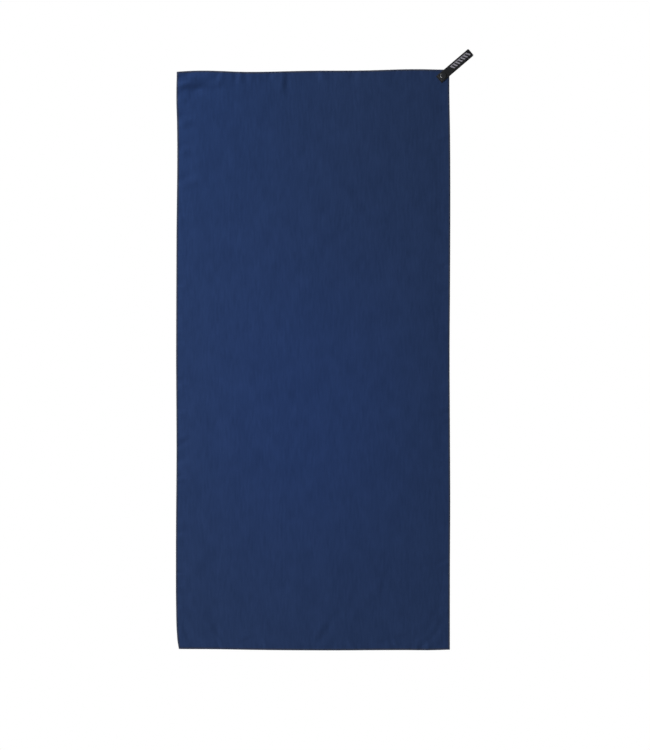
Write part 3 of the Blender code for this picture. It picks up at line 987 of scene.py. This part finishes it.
def overlock_material():
    """Near-black navy thread; each turn is a little lighter or darker than the next."""
    shader = Shader("overlock thread")
    spot = shader.spot()
    turns = shader.noise(spot, (0.0016, 0.9, 1.0), 1.0)
    fuzz = shader.noise(spot, (0.0004, 0.10, 0.0004), 2.0, 0.6)
    tone = shader.calc("MULTIPLY_ADD", fuzz, 0.4, shader.calc("MULTIPLY", turns, 0.6))
    color = shader.mix(tone, (0.0040, 0.0078, 0.0225, 1.0), (0.0125, 0.0240, 0.0610, 1.0))
    normal = shader.bump(fuzz, 0.00012)
    rough = shader.calc("MULTIPLY_ADD", fuzz, 0.2, 0.62)
    return shader.set(
        Base_Color=color, Roughness=rough, Normal=normal, Specular_IOR_Level=0.3,
        Sheen_Weight=0.05, Sheen_Roughness=0.4,
    )


def webbing_material():
    """Black nylon webbing with a pale border line and slanted bars woven into its outer face."""
    shader = Shader("black webbing")
    spot = shader.spot()
    axes = shader.axes(spot)
    along = shader.calc("SNAP", axes[0], PICK / 2)
    across = shader.calc("SNAP", axes[1], RIB / 2)
    face = axes[2]
    period, share, slant, count = 0.0078, 0.50, 0.55, 7
    low, high, border = -0.0042, 0.0060, 0.0012
    leaning = shader.calc("MULTIPLY_ADD", across, slant, along)
    turn = shader.calc("FRACT", shader.calc("DIVIDE", leaning, period))
    bar = shader.calc("LESS_THAN", turn, share)
    inside = shader.calc("GREATER_THAN", across, low)
    bars = shader.calc("MULTIPLY", bar, inside)
    bars = shader.calc("MAXIMUM", bars, shader.calc("GREATER_THAN", across, high - border))
    bars = shader.calc("MULTIPLY", bars, shader.calc("LESS_THAN", across, high))
    beyond = shader.calc("GREATER_THAN", leaning, period)
    before = shader.calc("LESS_THAN", leaning, (count + share) * period)
    outer = shader.calc("GREATER_THAN", face, 0.0)
    mask = shader.calc("MULTIPLY", bars, shader.calc("MULTIPLY", beyond, before))
    mask = shader.calc("MULTIPLY", mask, outer)
    fleck = shader.noise(spot, (0.0009, 0.0007, 1.0), 2.0, 0.6)
    worn = shader.noise(spot, (0.010, 0.006, 1.0), 2.0)
    ground = shader.mix(fleck, (0.0024, 0.0024, 0.0029, 1.0), (0.0105, 0.0105, 0.0122, 1.0))
    pale = shader.mix(fleck, (0.17, 0.165, 0.19, 1.0), (0.30, 0.29, 0.33, 1.0))
    kept = shader.calc("MULTIPLY_ADD", worn, 0.5, 0.6, clamp=True)
    color = shader.mix(shader.calc("MULTIPLY", mask, kept), ground, pale)
    fibres = shader.noise(spot, (0.0010, 0.00018, 1.0), 2.0, 0.6)
    normal = shader.bump(fibres, 0.00010, shader.bump(mask, 0.00008))
    rough = shader.calc("MULTIPLY_ADD", fibres, 0.25, 0.48)
    return shader.set(
        Base_Color=color, Roughness=rough, Normal=normal, Specular_IOR_Level=0.18,
        Sheen_Weight=0.02, Sheen_Roughness=0.35,
    )


def tack_material():
    """Polyester sewing thread, twisted, black."""
    shader = Shader("bar tack thread")
    axes = shader.axes(shader.spot())
    twist = shader.waves(shader.calc("ADD", axes[0], axes[2]), 0.0003)
    tone = shader.calc("MULTIPLY_ADD", twist, 0.5, 0.5)
    color = shader.mix(tone, (0.009, 0.009, 0.011, 1.0), (0.030, 0.030, 0.034, 1.0))
    rough = shader.calc("MULTIPLY_ADD", tone, 0.12, 0.45)
    return shader.set(Base_Color=color, Roughness=rough, Normal=shader.bump(tone, 0.00005))


def plastic_material():
    """Black acetal, satin from its mould and a little scuffed."""
    shader = Shader("black snap plastic")
    spot = shader.spot()
    grain = shader.noise(spot, (0.00030, 0.00030, 0.00030), 2.0, 0.5)
    scuffs = shader.noise(spot, (0.0040, 0.0012, 0.0009), 4.0, 0.65)
    wear = shader.calc("SUBTRACT", scuffs, 0.55, clamp=True)
    wear = shader.calc("MULTIPLY", wear, 3.0, clamp=True)
    color = shader.mix(wear, (0.004, 0.004, 0.005, 1.0), (0.011, 0.011, 0.013, 1.0))
    rough = shader.calc("MULTIPLY_ADD", wear, 0.14, 0.31)
    return shader.set(
        Base_Color=color, Roughness=rough, Normal=shader.bump(grain, 0.000012),
        Specular_IOR_Level=0.55,
    )


# ---- Stage -------------------------------------------------------------------
VIEW_HEIGHT = 1.7557  # how much of the towel's plane the picture shows, top to bottom
VIEW_MIDDLE = (0.0288, -0.7148)  # the middle of the picture, as x and z
LENS = 200.0
SENSOR = 36.0
SKY_LIGHT = 0.275  # how bright the white surroundings are as light
FLOOR_RADIUS = 1.6
FLOOR_DROP = 0.37  # below the towel, so that the floor and its shadow stay out of the picture


def make_camera():
    """A long lens square on to the towel's front."""
    data = bpy.data.cameras.new("camera")
    data.lens = LENS
    data.sensor_width = SENSOR
    distance = VIEW_HEIGHT * LENS / SENSOR
    data.clip_end = 3 * distance
    camera = bpy.data.objects.new("camera", data)
    camera.location = (VIEW_MIDDLE[0], -distance, VIEW_MIDDLE[1])
    camera.rotation_euler = (math.radians(90), 0.0, 0.0)
    bpy.context.scene.collection.objects.link(camera)
    bpy.context.scene.camera = camera


def make_softbox(name, place, target, size, power):
    """A rectangular light at a place, turned to a target, that the camera doesn't see."""
    data = bpy.data.lights.new(name, "AREA")
    data.shape = "RECTANGLE"
    data.size, data.size_y = size
    data.energy = power
    light = bpy.data.objects.new(name, data)
    way = Vector(target) - Vector(place)
    light.location = place
    light.rotation_euler = way.to_track_quat("-Z", "Y").to_euler()
    light.visible_camera = False
    bpy.context.scene.collection.objects.link(light)
    return light


def make_lights():
    """A soft key from the upper left, a weak side light and a light for the back.

    The glint reaches nothing but the snap's front cap, whose left side it lights.
    """
    middle = (0.0, 0.0, (TOP + BOTTOM) / 2)
    make_softbox("key", (-2.6, -2.2, 1.2), middle, (0.8, 0.8), 169)
    make_softbox("side", (-1.5, -0.8, -0.4), middle, (0.6, 0.8), 12)
    glint = make_softbox("glint", (-1.75, -0.3, -1.45), (RIGHT, 0.0, TOP), (0.9, 0.9), 220)
    reached = bpy.data.collections.new("reached by the glint")
    reached.objects.link(bpy.data.objects["snap_cap_front"])
    glint.light_linking.receiver_collection = reached
    make_softbox("back", (0.9, 2.3, 0.2), middle, (1.6, 1.6), 55)


def make_world():
    """White to the camera and a softer grey as light."""
    world = bpy.data.worlds.new("studio")
    world.use_nodes = True
    tree = world.node_tree
    background = tree.nodes["Background"]
    seen = tree.nodes.new("ShaderNodeLightPath").outputs["Is Camera Ray"]
    strength = tree.nodes.new("ShaderNodeMapRange")
    tree.links.new(seen, strength.inputs[0])
    strength.inputs["To Min"].default_value = SKY_LIGHT
    strength.inputs["To Max"].default_value = 1.0
    tree.links.new(strength.outputs[0], background.inputs["Strength"])
    background.inputs["Color"].default_value = (1.0, 1.0, 1.0, 1.0)
    bpy.context.scene.world = world


def floor_material():
    """Pale paper that fades into the white round its rim."""
    shader = Shader("pale floor")
    spot = shader.node("TexCoord", {}).outputs["Object"]
    away = shader.node("VectorMath", {0: spot}, operation="LENGTH").outputs["Value"]
    edges = {0: away, 1: FLOOR_RADIUS * 0.35, 2: FLOOR_RADIUS * 0.98}
    fade = shader.node("MapRange", edges, clamp=True)
    grain = shader.noise(spot, (0.004, 0.004, 0.004), 3.0)
    tone = shader.calc("MULTIPLY_ADD", grain, 0.02, 0.93)
    shader.set(Base_Color=shader.node("CombineXYZ", {0: tone, 1: tone, 2: tone}).outputs[0])
    shader.set(Roughness=0.9)
    glow = shader.node("Emission", {"Color": (1.0, 1.0, 1.0, 1.0), "Strength": 1.0})
    mixed = shader.node("MixShader", {0: fade.outputs[0]})
    shader.tree.links.new(shader.surface.outputs[0], mixed.inputs[1])
    shader.tree.links.new(glow.outputs[0], mixed.inputs[2])
    output = shader.tree.nodes["Material Output"]
    shader.tree.links.new(mixed.outputs[0], output.inputs["Surface"])
    return shader.material


def make_floor():
    bpy.ops.mesh.primitive_circle_add(vertices=96, radius=FLOOR_RADIUS, fill_type="NGON")
    floor = bpy.context.object
    floor.name = "floor"
    floor.location = (0.0, 0.0, BOTTOM - FLOOR_DROP)
    floor.data.materials.append(floor_material())


# ---- Build -------------------------------------------------------------------
draped = soften(drape())

make_cloth(cloth_material())
make_overlock(overlock_material())
make_strap(webbing_material())
make_bar_tack(tack_material())
make_snap(plastic_material())

make_camera()
make_lights()
make_world()
make_floor()
bpy.context.scene.view_settings.view_transform = "Standard"
